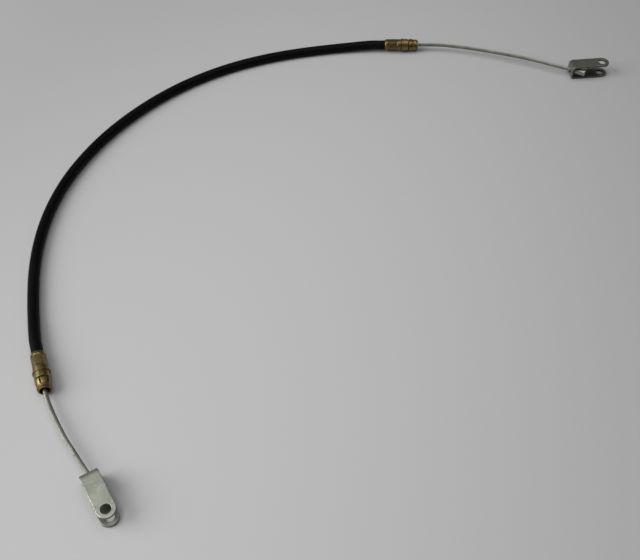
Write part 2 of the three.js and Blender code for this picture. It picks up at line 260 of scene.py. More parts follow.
def capped(rings, first=0):
    """A closed skin over rings of points, with a fan of three-sided faces over each end.

    rings has one ring in each row. The middle point of each end comes last."""
    rows, around = rings.shape[:2]
    loop = np.arange(around)
    faces = [grid_faces(rows, around, False, True, first)]
    for end, row in enumerate((0, rows - 1)):
        rim = first + row * around
        middle = np.full(around, first + rows * around + end)
        faces.append(np.column_stack([rim + loop, rim + (loop + 1) % around, middle]))
    return np.concatenate([rings.reshape(-1, 3), rings[[0, -1]].mean(axis=1)]), faces


def piece(name, points, faces, uv=None, marks=None, sharp=None):
    """A mesh object from arrays of points and faces, facing outwards and smooth.

    uv has a row for each point. marks are named values, one for each point. Edges
    sharper than the sharp angle, in degrees, keep their crease."""
    groups = faces if isinstance(faces, list) else [faces]
    groups = [np.asarray(g, np.int32) for g in groups if len(g)]
    totals = np.concatenate([np.full(len(g), g.shape[1], np.int32) for g in groups])
    corners = np.concatenate([g.ravel() for g in groups])
    mesh = bpy.data.meshes.new(name)
    mesh.vertices.add(len(points))
    mesh.vertices.foreach_set("co", np.asarray(points, np.float32).ravel())
    mesh.loops.add(len(corners))
    mesh.loops.foreach_set("vertex_index", corners)
    mesh.polygons.add(len(totals))
    starts = np.concatenate([[0], np.cumsum(totals)[:-1]]).astype(np.int32)
    mesh.polygons.foreach_set("loop_start", starts)
    mesh.polygons.foreach_set("loop_total", totals)
    mesh.update(calc_edges=True)
    for mark, values in (marks or {}).items():
        layer = mesh.attributes.new(mark, "FLOAT", "POINT")
        layer.data.foreach_set("value", np.asarray(values, np.float32))
    if uv is not None:
        layer = mesh.uv_layers.new(name="along")
        layer.data.foreach_set("uv", np.asarray(uv, np.float32)[corners].ravel())
    work = bmesh.new()
    work.from_mesh(mesh)
    bmesh.ops.recalc_face_normals(work, faces=work.faces)
    work.to_mesh(mesh)
    work.free()
    mesh.polygons.foreach_set("use_smooth", np.ones(len(mesh.polygons), bool))
    if sharp is not None:
        mesh.set_sharp_from_angle(angle=math.radians(sharp))
    mesh.validate()
    obj = bpy.data.objects.new(name, mesh)
    bpy.context.scene.collection.objects.link(obj)
    return obj


def dress(obj, material, body, slot, *nodes):
    """Gives a piece its material and its body, and hides the CAD nodes that it stands for; the
    slot argument is not used.
    """
    obj.data.materials.append(material)
    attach(obj, body)
    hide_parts(*nodes)


def rounded(profile, radii, steps=4):
    """A closed outline of [along, radius] corners with each corner turned into an arc.

    Each arc touches both its sides, at a distance from the corner of the arc's radius
    over the tangent of half the corner's angle, and never past half a side."""
    p = np.asarray(profile, float)
    radii = np.broadcast_to(radii, len(p))
    before, after = np.roll(p, 1, axis=0) - p, np.roll(p, -1, axis=0) - p
    reach_b, reach_a = np.linalg.norm(before, axis=1), np.linalg.norm(after, axis=1)
    unit_b, unit_a = before / reach_b[:, None], after / reach_a[:, None]
    half = np.arccos(np.clip((unit_b * unit_a).sum(1), -1, 1)) / 2
    cut = np.minimum(radii / np.tan(np.maximum(half, 0.05)), 0.45 * np.minimum(reach_b, reach_a))
    t = np.linspace(0, 1, steps)[None, :, None]
    start, end = (p + unit_b * cut[:, None])[:, None], (p + unit_a * cut[:, None])[:, None]
    corner = p[:, None]
    return ((1 - t)**2 * start + 2 * t * (1 - t) * corner + t**2 * end).reshape(-1, 2)


def filled_in(outline, step):
    """A closed outline with points added so that none of its sides is longer than a step."""
    following = np.roll(outline, -1, axis=0)
    reach = np.linalg.norm(following - outline, axis=1)
    count = np.maximum(1, np.ceil(reach / step)).astype(int)
    which = np.repeat(np.arange(len(outline)), count)
    share = np.concatenate([np.arange(n) / n for n in count])[:, None]
    return outline[which] * (1 - share) + following[which] * share


def turned(outline, sides, start, yaw, change=None):
    """A closed outline of [along, radius] points turned about an axis along the floor plane.

    A point is start + along * ahead + radius * (cos(angle) * side + sin(angle) * up),
    and change(along, radius, angle) gives a new radius for it."""
    along, radius = outline[:, 0][:, None], outline[:, 1][:, None]
    angle = (2 * np.pi * np.arange(sides) / sides)[None, :]
    if change is not None:
        radius = change(along, radius, angle)
    ahead, up = heading(yaw), np.array([0.0, 0.0, 1.0])
    side = np.cross(up, ahead)
    across = (radius * np.cos(angle))[..., None] * side + (radius * np.sin(angle))[..., None] * up
    points = np.asarray(start) + (along + 0 * angle)[..., None] * ahead + across
    return place(0, 0, 0) + points.reshape(-1, 3) * MM, grid_faces(len(outline), sides, True, True)


# Materials

class Finish:
    """A Principled material being built: short calls that add its nodes and links."""

    def __init__(self, name, roughness=0.5, metallic=0.0, specular=0.5):
        self.material = bpy.data.materials.new(name)
        self.material.use_nodes = True
        self.tree = self.material.node_tree
        self.shader = next(n for n in self.tree.nodes if n.type == "BSDF_PRINCIPLED")
        self.shader.inputs["Roughness"].default_value = roughness
        self.shader.inputs["Metallic"].default_value = metallic
        self.shader.inputs["Specular IOR Level"].default_value = specular
        self.here = self.tree.nodes.new("ShaderNodeTexCoord").outputs["Object"]

    def feed(self, socket, value):
        if isinstance(value, bpy.types.NodeSocket):
            self.tree.links.new(value, socket)
        else:
            socket.default_value = value

    def stretched(self, scale, source=None):
        """The piece's coordinates, or its own map, times a scale along each axis."""
        node = self.tree.nodes.new("ShaderNodeMapping")
        self.feed(node.inputs["Vector"], source or self.here)
        node.inputs["Scale"].default_value = scale
        return node.outputs["Vector"]

    def along(self):
        """The piece's own map: round it on the first axis and metres along it on the second."""
        node = self.tree.nodes.new("ShaderNodeUVMap")
        node.uv_map = "along"
        return node.outputs["UV"]

    def mark(self, name):
        node = self.tree.nodes.new("ShaderNodeAttribute")
        node.attribute_name = name
        return node.outputs["Fac"]

    def noise(self, scale, detail=4.0, rough=0.55, where=None, twist=0.0):
        node = self.tree.nodes.new("ShaderNodeTexNoise")
        self.feed(node.inputs["Vector"], where or self.here)
        node.inputs["Scale"].default_value = scale
        node.inputs["Detail"].default_value = detail
        node.inputs["Roughness"].default_value = rough
        node.inputs["Distortion"].default_value = twist
        return node.outputs["Fac"]

    def cells(self, scale, output="Distance"):
        node = self.tree.nodes.new("ShaderNodeTexVoronoi")
        self.feed(node.inputs["Vector"], self.here)
        node.inputs["Scale"].default_value = scale
        return node.outputs[output]

    def maths(self, kind, *values):
        node = self.tree.nodes.new("ShaderNodeMath")
        node.operation = kind
        for socket, value in zip(node.inputs, values):
            self.feed(socket, value)
        return node.outputs[0]

    def spread(self, value, low, high, to_low=0.0, to_high=1.0):
        """The value moved from one range to another, and held inside the second."""
        node = self.tree.nodes.new("ShaderNodeMapRange")
        for socket, number in zip(list(node.inputs)[:5], (value, low, high, to_low, to_high)):
            self.feed(socket, number)
        return node.outputs["Result"]

    def mixed(self, share, a, b, most=None):
        """Two colours mixed by a share, which is first multiplied by the most it may be."""
        if most is not None:
            share = self.maths("MULTIPLY", share, most)
        node = self.tree.nodes.new("ShaderNodeMix")
        node.data_type = "RGBA"
        self.feed(node.inputs[0], share)
        self.feed(node.inputs[6], a if isinstance(a, bpy.types.NodeSocket) else (*a, 1.0))
        self.feed(node.inputs[7], b if isinstance(b, bpy.types.NodeSocket) else (*b, 1.0))
        return node.outputs[2]

    def split(self, source):
        node = self.tree.nodes.new("ShaderNodeSeparateXYZ")
        self.feed(node.inputs[0], source)
        return node.outputs

    def colour(self, value):
        self.feed(self.shader.inputs["Base Color"], value)

    def rough(self, value, marks=None, more=0.0):
        """The roughness, with more of it where the marks are high."""
        if marks is not None:
            value = self.maths("ADD", value, self.maths("MULTIPLY", marks, more))
        self.feed(self.shader.inputs["Roughness"], value)

    def bump(self, height, depth, strength=1.0, under=None):
        node = self.tree.nodes.new("ShaderNodeBump")
        node.inputs["Strength"].default_value = strength
        node.inputs["Distance"].default_value = depth
        self.feed(node.inputs["Height"], height)
        if under is not None:
            self.feed(node.inputs["Normal"], under)
        self.feed(self.shader.inputs["Normal"], node.outputs[0])
        return node.outputs[0]


def extruded_black(settings):
    """Black extruded sheathing: fine lines along it, soft waviness, scuffs and a little dust."""
    f = Finish("black sheathing", roughness=0.42, specular=settings.sheen)
    tint = tuple(settings.colour)
    lines = f.noise(1.0, 3.0, where=f.stretched((60.0, 14.0, 1.0), f.along()))
    patches = f.noise(22.0, 5.0, 0.6)
    scuffs = f.spread(f.noise(1.0, 6.0, 0.7, f.stretched((9.0, 420.0, 1.0), f.along())), 0.6, 0.8)
    dust = f.spread(f.noise(1400.0, 2.0), 0.62, 0.8)
    grey = f.mixed(f.spread(patches, 0.35, 0.75, 0.0, 0.6), tint, tuple(2.2 * c for c in tint))
    grey = f.mixed(scuffs, grey, (0.05, 0.05, 0.052), settings.scuffs)
    f.colour(f.mixed(dust, grey, (0.08, 0.077, 0.068), 0.06))
    f.rough(f.spread(patches, 0.3, 0.7, 0.34, 0.5), scuffs, 0.15)
    under = f.bump(lines, 0.00006, 0.5)
    f.bump(f.noise(160.0, 3.0), 0.0002, 0.25, under)
    return f.material


def passivated_yellow(settings):
    """Yellow passivated zinc: a gold film that drifts to green and to copper red, over turning
    marks, small dents and handling rubs, with painted shade darkening its recesses."""
    f = Finish("yellow passivated zinc", roughness=0.34, metallic=1.0)
    drift = f.noise(70.0, 3.0, 0.5, twist=0.8)
    clouds = f.noise(150.0, 4.0, 0.6, twist=1.4)
    gold = f.mixed(f.spread(f.noise(420.0, 4.0), 0.3, 0.7), tuple(settings.gold),
                   tuple(0.5 * c for c in settings.gold))
    film = f.mixed(f.spread(drift, 0.5, 0.68, 0.0, 0.7), gold, tuple(settings.green_tint))
    film = f.mixed(f.spread(clouds, 0.56, 0.72, 0.0, 0.75), film, tuple(settings.red_tint))
    rubs = f.spread(f.noise(1.0, 5.0, 0.65, f.stretched((160.0, 160.0, 900.0))), 0.66, 0.8)
    film = f.mixed(rubs, film, (0.52, 0.50, 0.42), 0.45)
    # Painted shade: near-black is painted in the groove, the bore, the mouth and behind the
    # prongs, where shade falls
    painted_shading = f.mark("painted_shade")
    f.colour(f.mixed(painted_shading, film, (0.035, 0.03, 0.02), 0.85))
    f.rough(f.spread(clouds, 0.3, 0.75, 0.26, 0.42), painted_shading, 0.25)
    marks = f.noise(1.0, 2.0, where=f.stretched((2.0, 9000.0, 1.0), f.along()))
    under = f.bump(marks, 0.00003, 0.45)
    under = f.bump(f.spread(f.cells(900.0), 0.0, 0.5), 0.00004, 0.35, under)
    f.bump(f.noise(300.0, 4.0, 0.6), 0.0001, 0.3, under)
    return f.material


def plated_grey(name, settings, painted_light=1.0, streak=0.4):
    """Pale zinc plate over cold-rolled strap: a fine spangle, faint drag marks, pressed dents, and
    duller, greener film in patches, with painted shade where the piece's mark is high."""
    f = Finish(name, roughness=0.4, metallic=0.9)
    # The plating's tint times painted_light: above one it is painted light, below one painted
    # shade
    tint = tuple(painted_light * c for c in settings.plating)
    clouds = f.noise(110.0, 5.0, 0.6, twist=0.5)
    grain = f.split(f.cells(1500.0, output="Color"))[0]
    dull = tuple(c * k for c, k in zip(tint, (0.6, 0.65, 0.58)))
    base = f.mixed(f.spread(clouds, 0.35, 0.7), tint, dull)
    base = f.mixed(grain, base, tuple(1.25 * c for c in tint), 0.22)
    drag = f.spread(f.noise(1.0, 5.0, 0.7, f.stretched((700.0, 700.0, 700.0))), 0.6, 0.78)
    base = f.mixed(drag, base, tuple(0.5 * c for c in tint), streak)
    spots = f.spread(f.noise(650.0, 3.0), 0.68, 0.76)
    base = f.mixed(spots, base, (0.16, 0.14, 0.10), 0.5)
    # Painted shade: near-black is painted on the clevises' inner faces, cut edges and past each
    # bend, and in the stops' bores
    edge = f.mark("painted_shade")
    f.colour(f.mixed(edge, base, (0.04, 0.038, 0.032), 0.92))
    f.rough(f.spread(clouds, 0.3, 0.75, 0.22, 0.34), edge, 0.2)
    under = f.bump(grain, 0.000005, 0.4)
    under = f.bump(drag, 0.00004, 0.3, under)
    f.bump(f.noise(240.0, 4.0, 0.6), 0.00012, 0.3, under)
    return f.material


def stranded_wire(settings):
    """Galvanised wire: drawing lines along each wire, duller patches, a few brown specks, and
    painted shade that darkens the grooves between the wires and the core."""
    f = Finish("wound wire", roughness=0.38, metallic=0.85)
    tint = tuple(settings.wire)
    patches = f.noise(140.0, 5.0, 0.6)
    drawn = f.noise(1.0, 3.0, where=f.stretched((12.0, 260.0, 1.0), f.along()))
    base = f.mixed(f.spread(patches, 0.35, 0.7), tint, tuple(0.66 * c for c in tint))
    base = f.mixed(f.spread(drawn, 0.5, 0.75, 0.0, 0.5), base, tuple(1.35 * c for c in tint))
    base = f.mixed(f.spread(f.noise(900.0, 3.0), 0.64, 0.76, 0.0, 0.5), base, (0.13, 0.09, 0.05))
    # Painted shade in the grooves between the wires
    f.colour(f.mixed(f.mark("painted_shade"), base, (0.045, 0.042, 0.032), 0.8))
    f.rough(f.spread(patches, 0.3, 0.75, 0.34, 0.5))
    under = f.bump(drawn, 0.00002, 0.5)
    f.bump(f.noise(1500.0, 3.0), 0.00003, 0.3, under)
    return f.material


def wound_armour():
    """Bare steel strip wound round the liner: rings across it with dark seams."""
    f = Finish("armour steel", roughness=0.4, metallic=0.9)
    rust = f.spread(f.noise(260.0, 5.0, 0.65), 0.55, 0.75)
    f.colour(f.mixed(rust, (0.48, 0.49, 0.50), (0.26, 0.20, 0.14)))
    f.rough(f.spread(rust, 0.0, 1.0, 0.35, 0.6))
    f.bump(f.noise(500.0, 4.0), 0.0001, 0.4)
    return f.material


def liner_plastic():
    """Natural low-friction plastic, slightly yellowed in patches."""
    f = Finish("liner plastic", roughness=0.5)
    f.colour(f.mixed(f.noise(90.0, 4.0), (0.80, 0.78, 0.70), (0.70, 0.66, 0.55)))
    f.rough(f.spread(f.noise(200.0), 0.3, 0.7, 0.42, 0.58))
    f.bump(f.noise(600.0, 3.0), 0.00005, 0.3)
    return f.material


# Settings a user would change

def length_setting(name, description, default):
    return bpy.props.FloatProperty(name=name, description=description, default=default,
                                   min=0.0, subtype="DISTANCE", unit="LENGTH", precision=5)


def colour_setting(name, description, default):
    return bpy.props.FloatVectorProperty(name=name, description=description, default=default,
                                         size=3, min=0.0, max=1.0, subtype="COLOR")


def share_setting(name, description, default):
    return bpy.props.FloatProperty(name=name, description=description, default=default,
                                   min=0.0, max=1.0, subtype="FACTOR")


class CasingSettings(bpy.types.PropertyGroup):
    diameter: length_setting("Sheath diameter", "Outside diameter of the black sheath", 0.009)
    wall: length_setting("Sheath wall", "Thickness of the sheath's wall", 0.0008)
    colour: colour_setting("Colour", "Colour of the sheathing", (0.0025, 0.0025, 0.003))
    sheen: share_setting("Sheen", "How strongly the sheath reflects", 0.06)
    scuffs: share_setting("Scuffs", "How much the sheath is scuffed", 0.06)


class FittingSettings(bpy.types.PropertyGroup):
    edge: length_setting("Edge rounding", "Radius of the turned edges", 0.00022)
    crimp: length_setting("Crimp depth", "How far the hexagonal crimp presses in", 0.00055)
    gold: colour_setting("Gold film", "Main colour of the passivated plating", (0.28, 0.20, 0.08))
    green_tint: colour_setting("Green film", "Colour where the film turns green",
                               (0.19, 0.20, 0.085))
    red_tint: colour_setting("Red film", "Colour where the film turns red", (0.34, 0.15, 0.085))


class RopeSettings(bpy.types.PropertyGroup):
    diameter: length_setting("Rope diameter", "Diameter over the outer wires", 0.0032)
    lay: length_setting("Lay length", "Length along the rope of one turn of a wire", 0.030)
    wires: bpy.props.IntProperty(name="Outer wires", default=12, min=6, max=24,
                                 description="Number of wires in the outer layer")
    wire: colour_setting("Wire colour", "Colour of the galvanised wire", (0.30, 0.31, 0.26))


class ClevisSettings(bpy.types.PropertyGroup):
    thickness: length_setting("Strap thickness", "Thickness of the bent strap", 0.002)
    width: length_setting("Strap width", "Width of the bent strap", 0.0132)
    height: length_setting("Height", "Over both ears, outside", 0.014)
    inside_bend: length_setting("Inside bend", "Inside radius of each bend", 0.0013)
    pin_hole: length_setting("Pin hole", "Diameter of the hole through both ears", 0.0071)
    pin_reach: length_setting("Pin reach", "From the base's outer face to the pin hole", 0.0316)
    rope_hole: length_setting("Rope hole", "Diameter of the hole in the base", 0.0054)
    edge: length_setting("Edge rounding", "Radius of the pressed edges", 0.0003)
    plating: colour_setting("Plating", "Colour of the pale zinc plate", (0.42, 0.43, 0.375))


class StageSettings(bpy.types.PropertyGroup):
    floor: colour_setting("Floor", "Colour of the floor in the middle", (0.54, 0.54, 0.54))
    lamp: bpy.props.FloatProperty(name="Key lamp", description="Power of the large lamp, in watts",
                                  default=43.5, min=0.0, unit="POWER")
    fill: bpy.props.FloatProperty(name="Sky", description="Strength of the light from overhead",
                                  default=1.22, min=0.0)
    low_sky: share_setting("Low sky", "How bright the sky is low down, against overhead", 0.12)
    lens: bpy.props.FloatProperty(name="Lens", description="Focal length of the camera",
                                  default=CAMERA_LENS, min=1.0, subtype="DISTANCE_CAMERA")


# Pieces

class MakeStage(bpy.types.Operator):
    """Sets the camera, the pale floor and the soft lamps"""
    bl_idname = "brake_cable.make_stage"
    bl_label = "Stage"

    def execute(self, context):
        settings = context.scene.cable_stage
        camera = bpy.data.cameras.new("camera")
        camera.sensor_fit = "HORIZONTAL"
        camera.sensor_width = 36.0
        camera.lens = settings.lens
        camera.clip_start = 0.01
        viewer = bpy.data.objects.new("camera", camera)
        viewer.location = place(*CAMERA_PLACE)
        viewer.rotation_euler = (math.radians(90.0 - CAMERA_DIP), 0.0, 0.0)
        context.scene.collection.objects.link(viewer)
        context.scene.camera = viewer

        half = FLOOR_HALF
        corners = [(-half, -half, 0), (half, -half, 0), (half, half, 0), (-half, half, 0)]
        mesh = bpy.data.meshes.new("floor")
        mesh.from_pydata(corners, [], [(0, 1, 2, 3)])
        floor = bpy.data.objects.new("floor", mesh)
        floor.data.materials.append(self.floor_paint(settings))
        context.scene.collection.objects.link(floor)

        lamp = bpy.data.lights.new("key lamp", "AREA")
        lamp.shape = "DISK"
        lamp.size = LAMP_DIAMETER
        lamp.energy = settings.lamp
        key = bpy.data.objects.new("key lamp", lamp)
        key.location = LAMP_PLACE
        x, y, z = LAMP_PLACE
        key.rotation_euler = (math.atan2(math.hypot(x, y), z), 0.0, math.atan2(y, x) + math.pi / 2)
        context.scene.collection.objects.link(key)

        context.scene.world = self.sky(settings)
        context.scene.view_settings.view_transform = "Standard"
        return {"FINISHED"}

    @staticmethod
    def sky(settings):
        """A studio tent: dim near the floor and brighter overhead."""
        world = bpy.data.worlds.new("sky")
        world.use_nodes = True
        nodes, links = world.node_tree.nodes, world.node_tree.links
        background = next(n for n in nodes if n.type == "BACKGROUND")
        parts = nodes.new("ShaderNodeSeparateXYZ")
        links.new(nodes.new("ShaderNodeTexCoord").outputs["Generated"], parts.inputs[0])
        ramp = nodes.new("ShaderNodeMapRange")
        ramp.interpolation_type = "SMOOTHSTEP"
        for socket, value in zip(list(ramp.inputs)[1:5], (*SKY_RISE, settings.low_sky, 1.0)):
            socket.default_value = value
        links.new(parts.outputs["Z"], ramp.inputs["Value"])
        links.new(ramp.outputs["Result"], background.inputs["Color"])
        background.inputs["Strength"].default_value = settings.fill
        return world

    @staticmethod
    def floor_paint(settings):
        """Pale card with painted light and shade: its colour drifts a little from the middle to
        the edges of the view, in place of the light's falloff.
        """
        f = Finish("floor", roughness=0.85, specular=0.1)
        x, y, _ = f.split(f.here)
        products = [f.maths("MULTIPLY", *pair) for pair in ((x, x), (y, y), (x, y))]
        # Painted light and shade: the floor's colour scaled up and down across it
        painted_light = 1.0
        for term, weight in zip([x, y, *products], FLOOR_PAINTED_FALLOFF):
            painted_light = f.maths("ADD", f.maths("MULTIPLY", term, weight), painted_light)
        least, greatest = FLOOR_PAINTED_LIMITS
        painted_light = f.maths("SMOOTH_MAX", f.maths("MINIMUM", painted_light, greatest), least, 0.25)
        scaled = f.tree.nodes.new("ShaderNodeVectorMath")
        scaled.operation = "SCALE"
        scaled.inputs[0].default_value = tuple(settings.floor)
        f.feed(scaled.inputs["Scale"], painted_light)
        f.colour(scaled.outputs[0])
        f.bump(f.noise(500.0, 3.0), 0.0001, 0.1)
        return f.material


class MakeCasing(bpy.types.Operator):
    """Makes the black sheath over the whole casing"""
    bl_idname = "brake_cable.make_casing"
    bl_label = "Casing"

    def execute(self, context):
        settings = context.scene.cable_casing
        sides = 48
        line = evenly(casing_line(), 0.003)
        side, up = side_and_up(line)
        run = np.linspace(0, line_length(line), len(line))[:, None]
        angle = (2 * np.pi * np.arange(sides) / sides)[None, :]

        def skin(radius):
            """radius * (cos(angle) * side + sin(angle) * up) about the line, hardly oval."""
            wide = radius * (1 + 0.004 * np.sin(run * 90) * np.cos(2 * angle))
            return (line[:, None, :] + (wide * np.cos(angle))[..., None] * side[:, None, :]
                    + (wide * np.sin(angle))[..., None] * up[:, None, :])

        outer = skin(settings.diameter / 2)
        inner = skin(settings.diameter / 2 - settings.wall)[::-1]
        points = np.concatenate([outer, inner]).reshape(-1, 3)
        rows = np.concatenate([run, run[::-1]])
        uv = ring_map(rows.ravel() / MM, sides)
        sheath = piece("casing_cover", points, grid_faces(len(rows), sides, True, True), uv)
        dress(sheath, extruded_black(settings), "casing", "black_sheathing", "casing_sheath")
        return {"FINISHED"}


class MakeRopes(bpy.types.Operator):
    """Makes the two bare stretches of wire rope, wire by wire"""
    bl_idname = "brake_cable.make_ropes"
    bl_label = "Wire rope"

    def execute(self, context):
        settings = context.scene.cable_rope
        metal = stranded_wire(settings)
        for end, at in ENDS.items():
            line = rope_line(at)
            rope = self.wires(f"{end}_bare_rope", evenly(line, 0.0006), settings)
            dress(rope, metal, f"{end}_rope", "rope_steel", f"{end}_rope_end")
        return {"FINISHED"}

    @staticmethod
    def wires(name, line, settings):
        """The outer wires wound round a core that fills the space inside them.

        A wire's centre is the line plus a turning radius, turned once round the line in
        each lay length. Its section is a circle that just touches its neighbours: with w
        the sine of half a wire's share of the turn, the wire's radius is the rope's
        radius times w over (1 + w). The core reaches the wires' middles."""
        side, up = side_and_up(line)
        run = np.linspace(0, line_length(line), len(line))
        sides, wound = 10, settings.wires
        share = math.sin(math.pi / wound)
        thick = settings.diameter / 2 * share / (1 + share)
        reach = settings.diameter / 2 - thick
        turn = 2 * np.pi * run / settings.lay
        points, faces, uv, painted_shade = [], [], [], []
        for k in range(wound + 1):
            phase = turn + 2 * np.pi * k / wound
            out = np.cos(phase)[:, None] * side + np.sin(phase)[:, None] * up
            centre = line + (out * reach if k < wound else 0)
            tangent = np.gradient(centre, axis=0)
            tangent /= np.linalg.norm(tangent, axis=1)[:, None]
            second = np.cross(tangent, out)
            angle = 2 * np.pi * np.arange(sides) / sides
            ring = (np.cos(angle)[None, :, None] * out[:, None, :]
                    + np.sin(angle)[None, :, None] * second[:, None, :])
            tube = centre[:, None, :] + ring * (thick * 1.02 if k < wound else reach)
            tube_points, tube_faces = capped(tube, sum(len(p) for p in points))
            points.append(tube_points)
            faces += tube_faces
            uv.append(np.concatenate([ring_map(run / MM, sides), [[0, 0], [0, run[-1]]]]))
            # Painted shade on the inner side of each outer wire, in the grooves between wires, and
            # all over the core
            depth = np.clip((0.55 - np.cos(angle)) / 0.9, 0, 1) if k < wound else np.ones(sides)
            painted_shade.append(np.concatenate([np.tile(depth, len(line)), [0, 0]]))
        return piece(name, np.concatenate(points), faces, np.concatenate(uv),
                     {"painted_shade": np.concatenate(painted_shade)})


class MakeFittings(bpy.types.Operator):
    """Makes the crimped sleeve, lip, pilot and nose of both end fittings"""
    bl_idname = "brake_cable.make_fittings"
    bl_label = "End fittings"

    def execute(self, context):
        settings = context.scene.cable_fitting
        metal = passivated_yellow(settings)
        edge = settings.edge / MM
        outline = filled_in(rounded([
            (0, 4.75), (0, 5.1), (1.25, 5.55), (2.5, 5.7), (16.8, 5.7), (16.85, 5.2), (17.25, 5.2),
            (17.3, 6.6), (18.5, 6.6), (18.5, 5.9), (23.7, 5.9), (24.1, 5.5), (24.1, 4.5),
            (32.9, 4.5), (32.9, 4.9), (33.27, 5.1), (33.63, 4.95), (34, 4.5), (34, 3.6),
            (14.8, 3.6), (14.8, 4.75),
        ], [0.05, edge, 2, 2, edge, 0.1, 0.1, edge, edge, 0.05, 0.3, 0.3, 0.05,
            0.05, 0.15, 0.2, 0.2, 0.2, 0.3, 0.1, 0.1]), 0.35)

        def crimped(along, radius, angle):
            """The hexagon's flats are nearest the axis in their middles and untouched at
            their corners. They fade in and out over about 1.2 mm at either end."""
            rise = np.clip((along - 2.5) / 1.2, 0, 1)
            fall = np.clip((13.5 - along) / 1.2, 0, 1)
            fade = rise**2 * (3 - 2 * rise) * fall**2 * (3 - 2 * fall)
            half = np.pi / 6
            turn = np.mod(angle, 2 * half) - half
            press = (1 - math.cos(half) / np.cos(turn)) / (1 - math.cos(half))
            depth = settings.crimp / MM * press * fade
            skin = (radius > 5.0) & (along < 16.8)
            return np.where(skin, radius - depth, radius + 0 * angle)

        sides = 120
        station, radius = outline[:, 0], outline[:, 1]
        # Painted shade: the groove behind the lip, the pilot's foot, the bore, the mouth's lead-in
        # and the waist behind the prongs are painted darker, where shade falls. The whole sleeve
        # is also darkened a quarter of the way and made a little rougher.
        groove = np.exp(-((station - 17.05) / 0.35)**2) * (radius < 6.0)
        pilot_foot = np.exp(-((station - 18.55) / 0.12)**2) * (radius < 6.1) * (radius > 5.5)
        bore = (radius < 4.0) * 1.0
        lead_in = np.exp(-(station / 0.3)**2) * (radius < 5.0)
        behind = ((station > 24.05) & (radius < 5.4) & (station < 32.9)) * 0.8
        darker_sleeve = 0.25 * (station < 16.9) * (radius > 5.0)
        painted_shade = np.clip(groove + 0.6 * pilot_foot + bore + lead_in + behind + darker_sleeve, 0, 1)
        uv = ring_map(station, sides)
        marks = {"painted_shade": np.repeat(painted_shade, sides)}
        for end, at in ENDS.items():
            points, faces = turned(outline, sides, mouth(at), at["fitting_yaw"], crimped)
            fitting = piece(f"{end}_fitting", points, faces, uv, marks, sharp=50)
            dress(fitting, metal, "casing", "yellow_zinc", f"{end}_end_fitting")
        return {"FINISHED"}


class MakeProngs(bpy.types.Operator):
    """Makes the slotted spring prongs on both end fittings"""
    bl_idname = "brake_cable.make_prongs"
    bl_label = "Spring prongs"

    def execute(self, context):
        metal = passivated_yellow(context.scene.cable_fitting)
        metal.name = "yellow passivated zinc, prongs"
        for end, at in ENDS.items():
            clip = self.clip(f"{end}_prongs", mouth(at), at["fitting_yaw"])
            dress(clip, metal, "casing", "yellow_zinc", f"{end}_prong_clip")
        return {"FINISHED"}

    @staticmethod
    def clip(name, start, yaw):
        """A collar with sprung fingers that stand out towards the lip.

        A finger's section at each station is a bent, rounded bar between two radii and
        two angles, as wide as its share of a turn less a slot of even width: round it,
        an angle is a share of the half angle less a share of the corner's angle. Its
        outer radius goes from the waist to the flare with a slight belly."""
        collar = filled_in(rounded([
            (29.4, 4.75), (29.4, 5.3), (30.05, 5.4), (32.25, 5.4), (32.65, 5.0), (32.65, 4.75),
        ], [0.05, 0.2, 0.3, 0.2, 0.2, 0.05]), 0.3)
        sides = 96
        points, faces = turned(collar, sides, start, yaw)
        all_points, all_faces = [points], [faces]
        all_uv = [ring_map(collar[:, 0], sides)]
        all_painted_shade = [np.zeros(len(points))]
        slot, wall, round_off = 1.2, 0.8, 0.16
        free = 24.9
        station = free + np.concatenate([[0, 0.02, 0.1, 0.22], np.linspace(0.45, 6.1, 14)])
        inset = np.interp(station - free, [0, 0.02, 0.1, 0.22], [0.22, 0.12, 0.04, 0.0])
        share = np.clip((station - free) / 5.15, 0, 1)
        outer = FLARE_RADIUS - 0.6 * share + 0.15 * np.sin(np.pi * share)
        outer -= 0.05 * np.exp(-((station - free) / 0.5)**2)
        outer = np.minimum(outer, FLARE_RADIUS) - inset
        inner = outer - wall + 2 * inset
        half_angle = np.pi / PRONGS - np.arcsin((slot / 2 + inset) / outer)
        ahead, up = heading(yaw), np.array([0.0, 0.0, 1.0])
        side = np.cross(up, ahead)
        across = np.linspace(-1, 1, 13)
        flat = 0 * across
        turn_share = np.concatenate([across, [1, 1, 1, 1], -across, [-1, -1, -1, -1]])
        turn_cut = np.concatenate([across, [0.3, 0, 0, 0.3], -across, [-0.3, 0, 0, -0.3]])
        depth = np.concatenate([flat, [0, 0, 1, 1], flat + 1, [1, 1, 0, 0]])
        corner = np.concatenate([flat, [0.3, 1, 1, 0.3]] * 2) * round_off
        angles = turn_share * half_angle[:, None] - turn_cut * (round_off / outer)[:, None]
        radii = outer[:, None] + depth * (inner - outer)[:, None] + (2 * depth - 1) * corner
        # Painted shade on the fingers' inner faces, deepest on their undersides, and half of it on
        # their end caps
        inside = np.clip((outer[:, None] - radii) / wall, 0, 1)
        for k in range(PRONGS):
            theta = math.radians(PRONG_TURN + 180 / PRONGS + 360 / PRONGS * k) + angles
            ring = ((radii * np.cos(theta))[..., None] * side
                    + (radii * np.sin(theta))[..., None] * up)
            along = station[:, None, None] * ahead
            body = place(0, 0, 0) + (start + along + ring) * MM
            points, faces = capped(body, sum(len(p) for p in all_points))
            all_points.append(points)
            all_faces += faces
            metres = np.broadcast_to(station[:, None] * MM, theta.shape)
            uv = np.stack([theta / (2 * np.pi), metres], -1)
            all_uv.append(np.concatenate([uv.reshape(-1, 2), [[0, 0], [0, 0]]]))
            all_painted_shade.append(np.concatenate([inside.ravel(), [0.5, 0.5]]))
        return piece(name, np.concatenate(all_points), all_faces, np.concatenate(all_uv),
                     {"painted_shade": np.concatenate(all_painted_shade)}, sharp=60)


